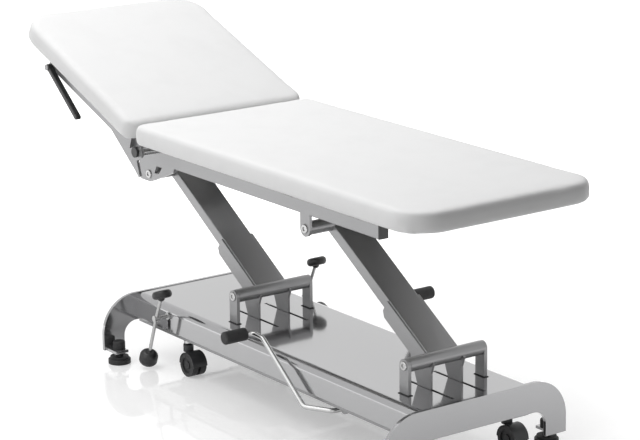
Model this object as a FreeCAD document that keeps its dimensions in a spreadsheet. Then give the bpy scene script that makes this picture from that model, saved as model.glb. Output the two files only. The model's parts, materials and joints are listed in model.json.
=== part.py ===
import FreeCAD, Part
import math
import os
import Sketcher

# Examination table: a padded two-section top on a parallelogram lift.
# X runs from the head end to the foot end, Y to the far side, Z up from the floor.
# The origin is on the floor under the middle of the overall length.
# "near" is the -Y side and "far" is the +Y side.

# Driving sizes, in millimetres and degrees.
SIZES = {
    # padded top
    "pad_width": 620.0,
    "pad_thick": 56.0,
    "main_pad_len": 1297.0,
    "back_pad_len": 656.0,
    "pad_corner_large": 100.0,
    "pad_corner_small": 38.0,
    "pad_edge_top": 15.0,
    "pad_edge_low": 7.0,
    "edge_strip_len": 70.0,
    "board_thick": 12.0,
    "board_inset": 24.0,
    "board_round": 60.0,
    "back_angle": 20.8,
    # hinge of the backrest
    "hinge_back": 36.0,
    "back_start": 5.0,
    "hinge_tube_r": 15.0,
    "hinge_tube_len": 534.0,
    "hinge_cap_len": 9.0,
    "hinge_cap_r": 15.0,
    "hinge_wall": 3.0,
    "hinge_plug": 20.0,
    # lift linkage
    "lift_angle": 32.4,
    "arm_len": 511.0,
    "pivot_span": 785.0,
    "pivot_x": 426.0,
    "pivot_z": 269.0,
    "pad_from_pivot": 192.5,
    "stand_face": 131.5,
    "stand_thick": 10.0,
    "stand_width": 37.0,
    "stand_gap": 0.5,
    "gasket_lip": 5.0,
    "shaft_r": 10.0,
    "shaft_head_r": 13.0,
    "shaft_head_len": 4.0,
    "shaft_socket_r": 6.0,
    "shaft_socket_deep": 2.5,
    "running_fit": 0.05,
    "side_gap": 0.5,
    "pivot_tube_r": 19.0,
    "arm_width": 96.0,
    "arm_above": 10.0,
    "arm_below": 24.0,
    "arm_wall": 4.0,
    "cheek_thick": 6.0,
    "cheek_below": 39.0,
    "cheek_len": 208.0,
    "crank_len": 115.0,
    "crank_lean": 32.4,
    "crank_pin_r": 8.0,
    "crank_end_r": 14.0,
    "cheek_nose": 5.0,
    "cheek_neck": 14.0,
    "cheek_heel_x": 42.0,
    "cheek_heel_z": 78.0,
    "cheek_waist": 60.0,
    "cheek_slope": 14.0,
    "cheek_chamfer": 12.0,
    # upper frame
    "rail_width": 30.0,
    "rail_height": 60.0,
    "rail_wall": 2.5,
    "rail_above_pivot": 40.0,
    "rail_head_out": 40.0,
    "rail_foot_out": 325.0,
    "cross_height": 50.0,
    "cross_width": 40.0,
    "cross_len": 380.0,
    "cross_wall": 3.0,
    "cross_from_hinge": 158.0,
    "cross_before_pivot": 20.0,
    "cross_past_pivot": 275.0,
    "saddle_height": 9.0,
    "bracket_thick": 8.0,
    "bracket_r": 22.0,
    "cap_thick": 4.0,
    # backrest frame
    "back_rail_face": 277.0,
    "back_rail_width": 22.0,
    "back_rail_height": 35.0,
    "back_rail_len": 500.0,
    "back_cross_width": 30.0,
    "back_cross_height": 28.0,
    "back_cross_start": 75.0,
    "back_cross_end": 40.0,
    "ear_thick": 8.0,
    "ear_back": 195.0,
    "strut_lug_in": 8.0,
    "strut_lug_thick": 6.0,
    "back_lug_r": 60.0,
    "back_lug_lean": 35.0,
    "lever_from_end": 22.0,
    "lever_len": 198.0,
    "lever_lean": 18.3,
    "lever_r": 7.0,
    "lever_above": 10.0,
    "lever_pin_r": 6.0,
    "lever_boss_r": 10.0,
    # gas strut under the main section
    "strut_r": 14.0,
    "strut_rod_r": 5.0,
    "strut_len": 210.0,
    "strut_start": 115.0,
    "strut_drop": 56.0,
    "strut_bracket_y": 10.0,
    "strut_bracket_in": 6.0,
    "strut_bracket_low": 8.0,
    "strut_back_wall": 30.0,
    "strut_rod_len": 190.0,
    "yoke_thick": 8.0,
    "strut_pin_r": 5.0,
    "yoke_play": 1.6,
    # base
    "base_past_pivot": 126.0,
    "plate_thick": 10.0,
    "cover_width": 380.0,
    "cover_top": 191.0,
    "cover_low": 116.0,
    "cover_sheet": 2.0,
    "cover_round": 22.0,
    "slot_width": 10.0,
    "slot_half_len": 105.0,
    "leg_span": 612.0,
    "leg_width": 70.0,
    "leg_low": 35.0,
    "plate_top": 193.0,
    "plate_low": 110.0,
    "leg_round": 112.0,
    "leg_inner_round": 42.0,
    "flange_len": 56.0,
    "flange_thick": 8.0,
    "flange_in": 22.0,
    "flange_out": 6.0,
    "leveller_x": 29.0,
    "leveller_in": 33.0,
    "leveller_disc_r": 33.0,
    "leveller_knob_r": 18.0,
    "leveller_stem_r": 6.0,
    "leveller_disc_h": 14.0,
    "leveller_collar_h": 7.0,
    "leveller_collar_r": 27.0,
    "leveller_round": 3.0,
    "leveller_knob_round": 5.0,
    "leveller_nut_r": 11.0,
    "leveller_nut_h": 6.0,
    "leveller_knob_h": 24.0,
    "member_width": 52.0,
    "member_height": 50.0,
    "member_low": 104.0,
    "member_wall": 3.0,
    "beam_width": 30.0,
    "beam_end_gap": 30.0,
    "lug_thick": 8.0,
    "lug_r": 16.0,
    "post_width": 28.0,
    "post_above": 13.0,
    # castors
    "castor_x_head": 238.0,
    "castor_foot_in": 65.0,
    "castor_y": 165.0,
    "castor_trail": 24.0,
    "castor_wheel_r": 34.0,
    "castor_wheel_width": 19.0,
    "castor_web": 8.0,
    "castor_axle_r": 5.0,
    "castor_stem_r": 8.0,
    "castor_socket_r": 14.0,
    "castor_boss_r": 15.0,
    "castor_boss_top": 88.0,
    "castor_neck_r": 11.0,
    "castor_cap_r": 12.0,
    "castor_hood_r": 37.5,
    "castor_hood_sheet": 2.5,
    # foot controls
    "pedal_past_pivot": 534.0,
    "pedal_z": 86.0,
    "pedal_rod_r": 7.0,
    "pedal_rod_y": 213.0,
    "pedal_bend_r": 20.0,
    "pedal_inner_y": 175.0,
    "near_knee_x": -270.0,
    "near_knee_z": 143.0,
    "near_heel_x": -80.0,
    "near_heel_z": -2.0,
    "far_heel_x": -55.0,
    "far_heel_z": 4.0,
    "grip_start": 22.0,
    "grip_end": 6.0,
    "grip_near_x": -321.0,
    "grip_near_z": 147.0,
    "grip_far_x": -186.0,
    "grip_far_z": 199.0,
    "grip_r": 18.0,
    "grip_len": 88.0,
    "rocker_near_x": 176.0,
    "rocker_far_x": 265.0,
    "rocker_z": 163.0,
    "rocker_y": 234.0,
    "rocker_rod_r": 5.0,
    "rocker_bend_r": 14.0,
    "rocker_hub_r": 9.0,
    "collar_r": 11.0,
    "collar_len": 6.0,
    "rocker_shaft_r": 5.0,
    "knob_r": 27.0,
    "low_knob_len": 46.0,
    "low_knob_round": 17.0,
    "disc_knob_r": 29.0,
    "disc_knob_len": 24.0,
    "disc_knob_round": 11.0,
    "disc_knob_lean": -20.0,
    "near_up_x": 36.0,
    "near_up_z": 81.0,
    "near_low_x": -45.0,
    "near_low_z": -124.0,
    "far_up_x": 58.0,
    "far_up_z": 123.0,
    "far_low_x": 65.0,
    "far_low_z": -25.0,
    # lift cylinder in the base
    "ram_r": 24.0,
    "ram_rod_r": 10.0,
    "ram_len": 240.0,
    "ram_y": 24.0,
    "ram_gland_len": 12.0,
    "ram_back_wall": 20.0,
    "ram_rod_in": 90.0,
    "yoke_half_y": 8.0,
    "yoke_head": 20.0,
    "yoke_foot": 22.0,
    "yoke_low": 16.0,
    "yoke_high": 31.0,
    "yoke_slot_play": 0.9,
    "yoke_slot_high": 15.0,
    "ram_front": 194.0,
    "beam_height": 34.0,
    "tie_width": 16.0,
    "tie_height": 24.0,
    "tie_inset": 4.0,
    "tie_pin_out": 2.0,
    "tie_step": 2.0,
}

doc = FreeCAD.newDocument("ExaminationTable")
sheet = doc.addObject("Spreadsheet::Sheet", "Dims")
for row, alias in enumerate(SIZES, start=1):
    sheet.set("A%d" % row, alias)
    sheet.set("B%d" % row, str(SIZES[alias]))
    sheet.setAlias("B%d" % row, alias)
doc.recompute()


class Dim:
    """A size: its value, and the expression that ties it to the sheet."""

    def __init__(self, value, text):
        self.value = value
        self.text = text

    def __add__(self, other):
        other = as_dim(other)
        return Dim(self.value + other.value, "(%s + %s)" % (self.text, other.text))

    def __sub__(self, other):
        other = as_dim(other)
        return Dim(self.value - other.value, "(%s - %s)" % (self.text, other.text))

    def __mul__(self, other):
        other = as_dim(other)
        return Dim(self.value * other.value, "(%s * %s)" % (self.text, other.text))

    def __truediv__(self, other):
        other = as_dim(other)
        return Dim(self.value / other.value, "(%s / %s)" % (self.text, other.text))

    def __neg__(self):
        return Dim(-self.value, "(0 - %s)" % self.text)

    def __radd__(self, other):
        return as_dim(other) + self

    def __rsub__(self, other):
        return as_dim(other) - self

    def __rmul__(self, other):
        return as_dim(other) * self


def as_dim(size):
    if isinstance(size, Dim):
        return size
    return Dim(float(size), "(%r)" % float(size))


def cosd(angle):
    return Dim(math.cos(math.radians(angle.value)), "cos(%s)" % angle.text)


def sind(angle):
    return Dim(math.sin(math.radians(angle.value)), "sin(%s)" % angle.text)


class Sizes:
    """The sheet's sizes by name."""


d = Sizes()
for alias in SIZES:
    setattr(d, alias, Dim(float(getattr(sheet, alias)), "Dims.%s" % alias))

parts = []
VEC = FreeCAD.Vector
TURN_AXIS = VEC(0, 1, 0)


def tie(obj, prop, size):
    """Bind a property to the sheet where its size comes from there."""
    if "Dims." in size.text:
        obj.setExpression(prop, size.text)


def place(obj, x, y, z, angle=None):
    """Put an object at a point, turned about Y by angle."""
    x, y, z = as_dim(x), as_dim(y), as_dim(z)
    turn = FreeCAD.Rotation(TURN_AXIS, angle.value if angle else 0.0)
    obj.Placement = FreeCAD.Placement(VEC(x.value, y.value, z.value), turn)
    tie(obj, "Placement.Base.x", x)
    tie(obj, "Placement.Base.y", y)
    tie(obj, "Placement.Base.z", z)
    if angle:
        tie(obj, "Placement.Rotation.Angle", angle)


def new_body(name):
    body = doc.addObject("PartDesign::Body", name)
    body.Label = name
    parts.append(body)
    return body


PLANES = {"X": "YZ_Plane", "Y": "XZ_Plane", "Z": "XY_Plane"}


def bind_point(sk, line, x, y):
    """Hold the start of a line, or the centre of a circle, at a point."""
    where = 1 if isinstance(sk.Geometry[line], Part.LineSegment) else 3
    for kind, size, axis in (("DistanceX", x, -2), ("DistanceY", y, -1)):
        if abs(size.value) < 1e-9:
            sk.addConstraint(Sketcher.Constraint("PointOnObject", line, where, axis))
            continue
        index = sk.addConstraint(Sketcher.Constraint(kind, -1, 1, line, where, size.value))
        tie(sk, "Constraints[%d]" % index, size)


def add_polygon(sk, points):
    points = [(as_dim(x), as_dim(y)) for x, y in points]
    first = sk.GeometryCount
    count = len(points)
    for i in range(count):
        start, end = points[i], points[(i + 1) % count]
        line = Part.LineSegment(VEC(start[0].value, start[1].value, 0), VEC(end[0].value, end[1].value, 0))
        sk.addGeometry(line, False)
    for i in range(count):
        sk.addConstraint(Sketcher.Constraint("Coincident", first + i, 2, first + (i + 1) % count, 1))
    for i in range(count):
        bind_point(sk, first + i, points[i][0], points[i][1])


def add_circle(sk, x, y, radius):
    x, y, radius = as_dim(x), as_dim(y), as_dim(radius)
    index = sk.GeometryCount
    sk.addGeometry(Part.Circle(VEC(x.value, y.value, 0), VEC(0, 0, 1), radius.value), False)
    bind_point(sk, index, x, y)
    held = sk.addConstraint(Sketcher.Constraint("Radius", index, radius.value))
    tie(sk, "Constraints[%d]" % held, radius)


def slab(body, axis, low, high, loops, cut=False):
    """Add, or cut away, the loops' area between two heights along an axis.

    A loop is a list of corner points, or a (x, y, radius) circle.
    The sketch axes are X and Z across Y, Y and Z across X, X and Y across Z.
    """
    low, high = as_dim(low), as_dim(high)
    role = PLANES[axis]
    plane = [f for f in body.Origin.OriginFeatures if f.Role == role][0]
    sk = body.newObject("Sketcher::SketchObject", "Outline")
    sk.AttachmentSupport = (plane, [""])
    sk.MapMode = "FlatFace"
    lift = -high if axis == "Y" else low
    sk.AttachmentOffset = FreeCAD.Placement(VEC(0, 0, lift.value), FreeCAD.Rotation())
    tie(sk, "AttachmentOffset.Base.z", lift)
    for loop in loops:
        if isinstance(loop, tuple):
            add_circle(sk, *loop)
        else:
            add_polygon(sk, loop)
    kind = "PartDesign::Pocket" if cut else "PartDesign::Pad"
    feature = body.newObject(kind, "Cut" if cut else "Slab")
    feature.Profile = sk
    feature.Reversed = cut
    length = high - low
    feature.Length = length.value
    tie(feature, "Length", length)
    return feature


def rect(x0, x1, y0, y1):
    return [(x0, y0), (x1, y0), (x1, y1), (x0, y1)]


def along(axis, points):
    """A test for straight edges along an axis through any of the points across it."""
    index = "XYZ".index(axis)
    others = [i for i in range(3) if i != index]
    spots = [(as_dim(a).value, as_dim(b).value) for a, b in points]

    def test(edge):
        if len(edge.Vertexes) != 2:
            return False
        a, b = edge.Vertexes[0].Point, edge.Vertexes[1].Point
        if max(abs(a[i] - b[i]) for i in others) > 1e-4:
            return False
        if not isinstance(edge.Curve, Part.Line):
            return False
        return any(abs(a[others[0]] - u) < 0.01 and abs(a[others[1]] - v) < 0.01 for u, v in spots)

    return test


def level(axis, height, inside=None):
    """A test for edges that lie wholly at one height along an axis."""
    index = "XYZ".index(axis)
    height = as_dim(height).value

    def test(edge):
        box = edge.BoundBox
        low = (box.XMin, box.YMin, box.ZMin)[index]
        high = (box.XMax, box.YMax, box.ZMax)[index]
        if abs(low - height) > 0.01 or abs(high - height) > 0.01:
            return False
        return inside is None or inside(edge)

    return test


def round_edges(body, radius, test, kind="PartDesign::Fillet"):
    doc.recompute()
    base = body.Tip
    names = ["Edge%d" % (i + 1) for i, edge in enumerate(base.Shape.Edges) if test(edge)]
    if not names:
        raise ValueError("no edges to round on " + body.Label)
    feature = body.newObject(kind, "Round")
    feature.Base = (base, names)
    radius = as_dim(radius)
    prop = "Radius" if kind == "PartDesign::Fillet" else "Size"
    setattr(feature, prop, radius.value)
    tie(feature, prop, radius)


def bent_rod(points, radius, bend):
    """A round rod along straight runs joined by tangent arcs."""
    points = [VEC(*[as_dim(c).value for c in p]) for p in points]
    radius = as_dim(radius).value
    bend = as_dim(bend).value
    edges = []
    start = points[0]
    for before, corner, after in zip(points, points[1:], points[2:]):
        back = (before - corner).normalize()
        ahead = (after - corner).normalize()
        half = back.getAngle(ahead) / 2
        cut = bend / math.tan(half)
        middle = (back + ahead).normalize() * (bend / math.sin(half) - bend)
        arc_start = corner + back * cut
        arc_end = corner + ahead * cut
        edges.append(Part.LineSegment(start, arc_start).toShape())
        edges.append(Part.Arc(arc_start, corner + middle, arc_end).toShape())
        start = arc_end
    edges.append(Part.LineSegment(start, points[-1]).toShape())
    path = Part.Wire(edges)
    ring = Part.Wire([Part.Circle(points[0], points[1] - points[0], radius).toShape()])
    rod = path.makePipeShell([ring], True, True)
    return rod


def rod_part(name, shape):
    part = doc.addObject("Part::Feature", name)
    part.Label = name
    part.Shape = shape
    parts.append(part)
    return part


# Places that several pieces share, in X from the head plate's inner face and Z from the floor.
base_len = d.pivot_x + d.pivot_span + d.base_past_pivot
castor_x_foot = base_len - d.castor_foot_in
leveller_y = d.leg_span / 2 - d.leveller_in
pedal_x = d.pivot_x + d.pedal_past_pivot
lever_back = d.back_rail_len - d.lever_from_end
upper_x = d.pivot_x - d.arm_len * cosd(d.lift_angle)
upper_z = d.pivot_z + d.arm_len * sind(d.lift_angle)
rail_low = upper_z + d.rail_above_pivot
rail_top = rail_low + d.rail_height
pad_low = rail_top + d.cross_height
main_pad_x = upper_x + d.pad_from_pivot
hinge_x = main_pad_x - d.hinge_back
hinge_z = rail_top + d.hinge_tube_r
pad_over_hinge = pad_low - hinge_z
back_len = d.back_start + d.back_pad_len
stand_in = d.stand_face - d.stand_thick
member_y0 = d.stand_face
member_y1 = d.stand_face + d.member_width
member_top = d.member_low + d.member_height
half_cover = d.cover_width / 2
half_pad = d.pad_width / 2
pin_z = d.pivot_z - d.crank_len
ram_front = d.pivot_x + d.ram_front

# The overall length runs from the raised backrest's lower edge to the main pad's foot end.
low_x = hinge_x - (back_len - d.pad_edge_low) * cosd(d.back_angle)
low_x = low_x + (pad_over_hinge + d.pad_edge_low) * sind(d.back_angle) - d.pad_edge_low
high_x = main_pad_x + d.main_pad_len
shift = -(low_x + high_x) / 2

SIDES = (("near", -1), ("far", 1))


def span(side, inner, outer):
    """The Y range between two distances from the centre plane, on one side."""
    if side < 0:
        return -as_dim(outer), -as_dim(inner)
    return as_dim(inner), as_dim(outer)


def end_plates():
    """The arched plates at the two ends of the base, with a flange at each leg."""
    half = d.leg_span / 2
    inner = half - d.leg_width
    outline = [
        (-half, d.leg_low), (-inner, d.leg_low), (-inner, d.plate_low), (inner, d.plate_low),
        (inner, d.leg_low), (half, d.leg_low), (half, d.plate_top), (-half, d.plate_top),
    ]
    for name, x0, toward in (("end_plate_head", -d.plate_thick, 1), ("end_plate_foot", base_len, -1)):
        body = new_body(name)
        slab(body, "X", 0, d.plate_thick, [outline])
        round_edges(body, d.leg_round, along("X", [(-half, d.plate_top), (half, d.plate_top)]))
        round_edges(body, d.leg_inner_round, along("X", [(-inner, d.plate_low), (inner, d.plate_low)]))
        f0 = d.plate_thick if toward > 0 else -d.flange_len
        f1 = d.plate_thick + d.flange_len if toward > 0 else as_dim(0)
        centre = (d.plate_thick + d.leveller_x) if toward > 0 else -d.leveller_x
        for side in (-1, 1):
            y0, y1 = span(side, inner + d.flange_in, half - d.flange_out)
            slab(body, "Z", d.leg_low, d.leg_low + d.flange_thick, [rect(f0, f1, y0, y1)])
            slab(body, "Z", 0, d.leg_low + 20, [(centre, side * leveller_y, d.leveller_stem_r)], cut=True)
        place(body, x0 + shift, 0, 0)


def levellers():
    """A screw foot under each leg: rubber-faced disc, stem and hand knob."""
    stem_top = d.leg_low + d.flange_thick
    places = (("head", d.leveller_x), ("foot", base_len - d.leveller_x))
    for end, x in places:
        for label, side in SIDES:
            body = new_body("leveller_%s_%s" % (end, label))
            disc_top = d.leveller_disc_h
            collar_top = disc_top + d.leveller_collar_h
            nut_top = collar_top + d.leveller_nut_h
            knob_top = stem_top + d.leveller_knob_h
            slab(body, "Z", 0, disc_top, [(0, 0, d.leveller_disc_r)])
            slab(body, "Z", disc_top, collar_top, [(0, 0, d.leveller_collar_r)])
            slab(body, "Z", collar_top, nut_top, [(0, 0, d.leveller_nut_r)])
            slab(body, "Z", nut_top, stem_top, [(0, 0, d.leveller_stem_r)])
            slab(body, "Z", stem_top, knob_top, [(0, 0, d.leveller_knob_r)])
            rim = d.leveller_disc_r.value + d.leveller_collar_r.value
            round_edges(body, d.leveller_round, level("Z", disc_top, lambda e: e.BoundBox.XLength > rim))
            round_edges(body, d.leveller_knob_round, level("Z", knob_top))
            place(body, x + shift, side * leveller_y, 0)


def base_frame():
    """Two hollow side members joined by cross tubes, with lugs for the pedal shaft."""
    body = new_body("base_frame")
    low, top, wall = d.member_low, member_top, d.member_wall
    for side in (-1, 1):
        y0, y1 = span(side, member_y0, member_y1)
        slab(body, "Y", y0, y1, [rect(0, base_len, low, top)])
    wide = d.beam_width
    last_beam = base_len - d.beam_end_gap - wide
    for x in (d.beam_end_gap, ram_front, ram_front + d.ram_len - wide, last_beam):
        slab(body, "Y", -member_y0, member_y0, [rect(x, x + wide, low, low + d.beam_height)])
    slab(body, "X", ram_front, ram_front + d.ram_len, [(d.ram_y, pin_z, d.ram_r)], cut=True)
    for side in (-1, 1):
        y0, y1 = span(side, member_y0 + wall, member_y1 - wall)
        slab(body, "Y", y0, y1, [rect(0, base_len, low + wall, top - wall)], cut=True)
        for x in (d.castor_x_head, castor_x_foot):
            y = side * d.castor_y
            slab(body, "Z", low, top, [(x, y, d.castor_socket_r)])
            slab(body, "Z", low - 1, top - wall, [(x, y, d.castor_stem_r + d.running_fit)], cut=True)
        lug_y = span(side, member_y0, member_y0 + d.lug_thick)
        lug = rect(pedal_x - d.lug_r, pedal_x + d.lug_r, d.pedal_z, low)
        slab(body, "Y", lug_y[0], lug_y[1], [lug])
        slab(body, "Y", lug_y[0], lug_y[1], [(pedal_x, d.pedal_z, d.lug_r)])
        slab(body, "Y", lug_y[0] - 1, lug_y[1] + 1,
             [(pedal_x, d.pedal_z, d.pedal_rod_r + d.running_fit)], cut=True)
        x = d.rocker_near_x if side < 0 else d.rocker_far_x
        post = rect(x - d.post_width / 2, x + d.post_width / 2, top, d.rocker_z + d.post_above)
        slab(body, "Y", *span(side, member_y0, member_y1), [post])
        slab(body, "Y", *span(side, member_y0 - 1, member_y1 + 1),
             [(x, d.rocker_z, d.rocker_shaft_r + d.running_fit)], cut=True)
    place(body, shift, 0, 0)


def cover():
    """The folded sheet cover of the base, with slots for the stands and the crank plates."""
    body = new_body("base_cover")
    low, top, sheet_t = d.cover_low, d.cover_top, d.cover_sheet
    outline = [(-half_cover, low), (-half_cover, top), (half_cover, top), (half_cover, low)]
    slab(body, "X", 0, base_len, [outline])
    round_edges(body, d.cover_round, along("X", [(-half_cover, top), (half_cover, top)]))
    inner = half_cover - sheet_t
    slab(body, "X", 0, base_len, [rect(-inner, inner, low, top - d.cover_round)], cut=True)
    flat = half_cover - d.cover_round
    slab(body, "X", 0, base_len, [rect(-flat, flat, low, top - sheet_t)], cut=True)
    for side in (-1, 1):
        ring = (side * flat, top - d.cover_round, d.cover_round - sheet_t)
        slab(body, "X", 0, base_len, [ring], cut=True)
    for x in (d.pivot_x, d.pivot_x + d.pivot_span):
        half_stand = d.stand_width / 2 + d.stand_gap
        for side in (-1, 1):
            y0, y1 = span(side, stand_in - d.stand_gap, d.stand_face + d.stand_gap)
            slab(body, "Z", top - 10, top + 1, [rect(x - half_stand, x + half_stand, y0, y1)], cut=True)
            mid = d.arm_width / 2 + d.cheek_thick / 2
            s0, s1 = span(side, mid - d.slot_width / 2, mid + d.slot_width / 2)
            slab(body, "Z", top - 10, top + 1,
                 [rect(x - d.slot_half_len, x + d.slot_half_len, s0, s1)], cut=True)
    for side, x in ((-1, d.rocker_near_x), (1, d.rocker_far_x)):
        y0, y1 = span(side, inner - 1, half_cover + 1)
        w = d.rocker_shaft_r + 3
        slab(body, "Y", y0, y1, [rect(x - w, x + w, low - 1, d.rocker_z + w)], cut=True)
    place(body, shift, 0, 0)


def stands():
    """Round-topped plates that carry the lower pivots, and the shafts through them."""
    for end, x in (("head", d.pivot_x), ("foot", d.pivot_x + d.pivot_span)):
        for label, side in SIDES:
            body = new_body("stand_%s_%s" % (end, label))
            y0, y1 = span(side, stand_in, d.stand_face)
            half = d.stand_width / 2
            slab(body, "Y", y0, y1, [rect(-half, half, d.member_low, d.pivot_z)])
            slab(body, "Y", y0, y1, [(0, d.pivot_z, half)])
            slab(body, "Y", y0 - 1, y1 + 1, [(0, d.pivot_z, d.shaft_r)], cut=True)
            place(body, x + shift, 0, 0)
        pivot_shaft("pivot_shaft_%s_low" % end, x + shift, d.pivot_z)
    body = new_body("stand_gaskets")
    for x in (d.pivot_x, d.pivot_x + d.pivot_span):
        for side in (-1, 1):
            lip = d.gasket_lip
            y0, y1 = span(side, stand_in - lip, d.stand_face + lip)
            i0, i1 = span(side, stand_in, d.stand_face)
            half = d.stand_width / 2
            slab(body, "Z", d.cover_top, d.cover_top + lip, [
                rect(x - half - lip, x + half + lip, y0, y1), rect(x - half, x + half, i0, i1)])
    place(body, shift, 0, 0)


def pivot_shaft(name, x, z):
    """A headed shaft across a pair of pivot plates."""
    body = new_body(name)
    end = d.stand_face
    slab(body, "Y", -end, end, [(0, 0, d.shaft_r)])
    slab(body, "Y", -end - d.shaft_head_len, -end, [(0, 0, d.shaft_head_r)])
    slab(body, "Y", end, end + d.shaft_head_len, [(0, 0, d.shaft_head_r)])
    round_edges(body, 2.5, lambda e: abs(abs(e.BoundBox.YMin) - (end + d.shaft_head_len).value) < 0.01
                and e.BoundBox.YLength < 0.01)
    for side in (-1, 1):
        face = end + d.shaft_head_len
        slab(body, "Y", *span(side, face - d.shaft_socket_deep, face + 1),
             [(0, 0, d.shaft_socket_r)], cut=True)
    place(body, x, 0, z)


def arms():
    """The two lifting arms: hollow box beams between cross tubes, with cheek and crank plates."""
    half = d.arm_width / 2
    for end, x in (("head", d.pivot_x), ("foot", d.pivot_x + d.pivot_span)):
        body = new_body("arm_" + end)
        slab(body, "Y", -half, half, [rect(-d.arm_len, 0, -d.arm_below, d.arm_above)])
        corners = [(y, z) for y in (-half, half) for z in (-d.arm_below, d.arm_above)]
        round_edges(body, 3.5, along("X", corners))
        wall = d.arm_wall
        slab(body, "Y", wall - half, half - wall,
             [rect(-d.arm_len - 1, 1, wall - d.arm_below, d.arm_above - wall)], cut=True)
        tube_end = stand_in - d.side_gap
        for centre in (as_dim(0), -d.arm_len):
            slab(body, "Y", -tube_end, tube_end, [(centre, 0, d.pivot_tube_r)])
        for centre in (as_dim(0), -d.arm_len):
            slab(body, "Y", -tube_end - 1, tube_end + 1, [(centre, 0, d.shaft_r + d.running_fit)], cut=True)
        place(body, x + shift, 0, d.pivot_z, d.lift_angle)
        for label, side in SIDES:
            cheek = new_body("arm_cheek_%s_%s" % (end, label))
            y0, y1 = span(side, half, half + d.cheek_thick)
            slab(cheek, "Y", y0, y1, [cheek_outline()])
            crank = (d.crank_len * sind(d.crank_lean), -d.crank_len * cosd(d.crank_lean))
            slab(cheek, "Y", y0, y1, [(crank[0], crank[1], d.crank_end_r)])
            slab(cheek, "Y", y0 - 1, y1 + 1, [(crank[0], crank[1], d.crank_pin_r + d.running_fit)], cut=True)
            slab(cheek, "Y", y0 - 1, y1 + 1, [(0, 0, d.pivot_tube_r)], cut=True)
            place(cheek, x + shift, 0, d.pivot_z, d.lift_angle)


def cheek_outline():
    """The cheek along the arm's lower half, running on below the pivot as a crank."""
    sin, cos = sind(d.crank_lean), cosd(d.crank_lean)

    def hung(dx, dz):
        dx, dz = as_dim(dx), as_dim(dz)
        return dx * cos - dz * sin, dx * sin + dz * cos

    return [
        (-d.cheek_len, d.arm_above - 2), (d.pivot_tube_r + d.cheek_nose, d.arm_above - 2),
        hung(d.crank_end_r, -d.pivot_tube_r - d.cheek_neck), hung(d.crank_end_r, -d.crank_len),
        hung(-d.crank_end_r, -d.crank_len), hung(-d.cheek_heel_x, -d.cheek_heel_z),
        (-d.cheek_waist, -d.cheek_below), (d.cheek_slope - d.cheek_len, -d.cheek_below),
        (-d.cheek_len, d.cheek_chamfer - d.cheek_below),
    ]


def lift_drive():
    """The tie bar between the cranks, and the ram that drives it, inside the base."""
    half = d.arm_width / 2
    tie_bar = new_body("tie_bar")
    bar_y = (d.tie_inset - half, d.tie_inset - half + d.tie_width)
    for x in (as_dim(0), d.pivot_span):
        pin_end = half + d.cheek_thick + d.tie_pin_out
        slab(tie_bar, "Y", -pin_end, pin_end, [(x, 0, d.crank_pin_r)])
        slab(tie_bar, "Y", *bar_y, [(x, 0, d.tie_height / 2)])
    slab(tie_bar, "Y", *bar_y,
         [rect(0, d.pivot_span, d.tie_step - d.tie_height / 2, d.tie_height / 2 - d.tie_step)])
    place(tie_bar, d.pivot_x + shift, 0, pin_z)

    cylinder = new_body("lift_cylinder")
    slab(cylinder, "X", 0, d.ram_len, [(0, 0, d.ram_r)])
    gland = d.ram_gland_len
    slab(cylinder, "X", -gland, 0, [(0, 0, d.ram_r - 5)])
    slab(cylinder, "X", -gland - 1, d.ram_len - d.ram_back_wall,
         [(0, 0, d.ram_rod_r + d.running_fit)], cut=True)
    place(cylinder, ram_front + shift, d.ram_y, pin_z)

    ram = new_body("lift_ram")
    slot_half = d.crank_pin_r + d.yoke_slot_play
    slot = rect(-slot_half, slot_half, -d.crank_pin_r - 1, d.crank_pin_r + d.yoke_slot_high)
    yoke_y = d.yoke_half_y
    slab(ram, "X", d.yoke_foot - 2, d.ram_front + d.ram_rod_in, [(0, 0, d.ram_rod_r)])
    slab(ram, "Y", -yoke_y, yoke_y, [rect(-d.yoke_head, d.yoke_foot, -d.yoke_low, d.yoke_high)])
    slab(ram, "Y", -yoke_y - 1, yoke_y + 1, [slot], cut=True)
    place(ram, d.pivot_x + shift, d.ram_y, pin_z)


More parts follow.
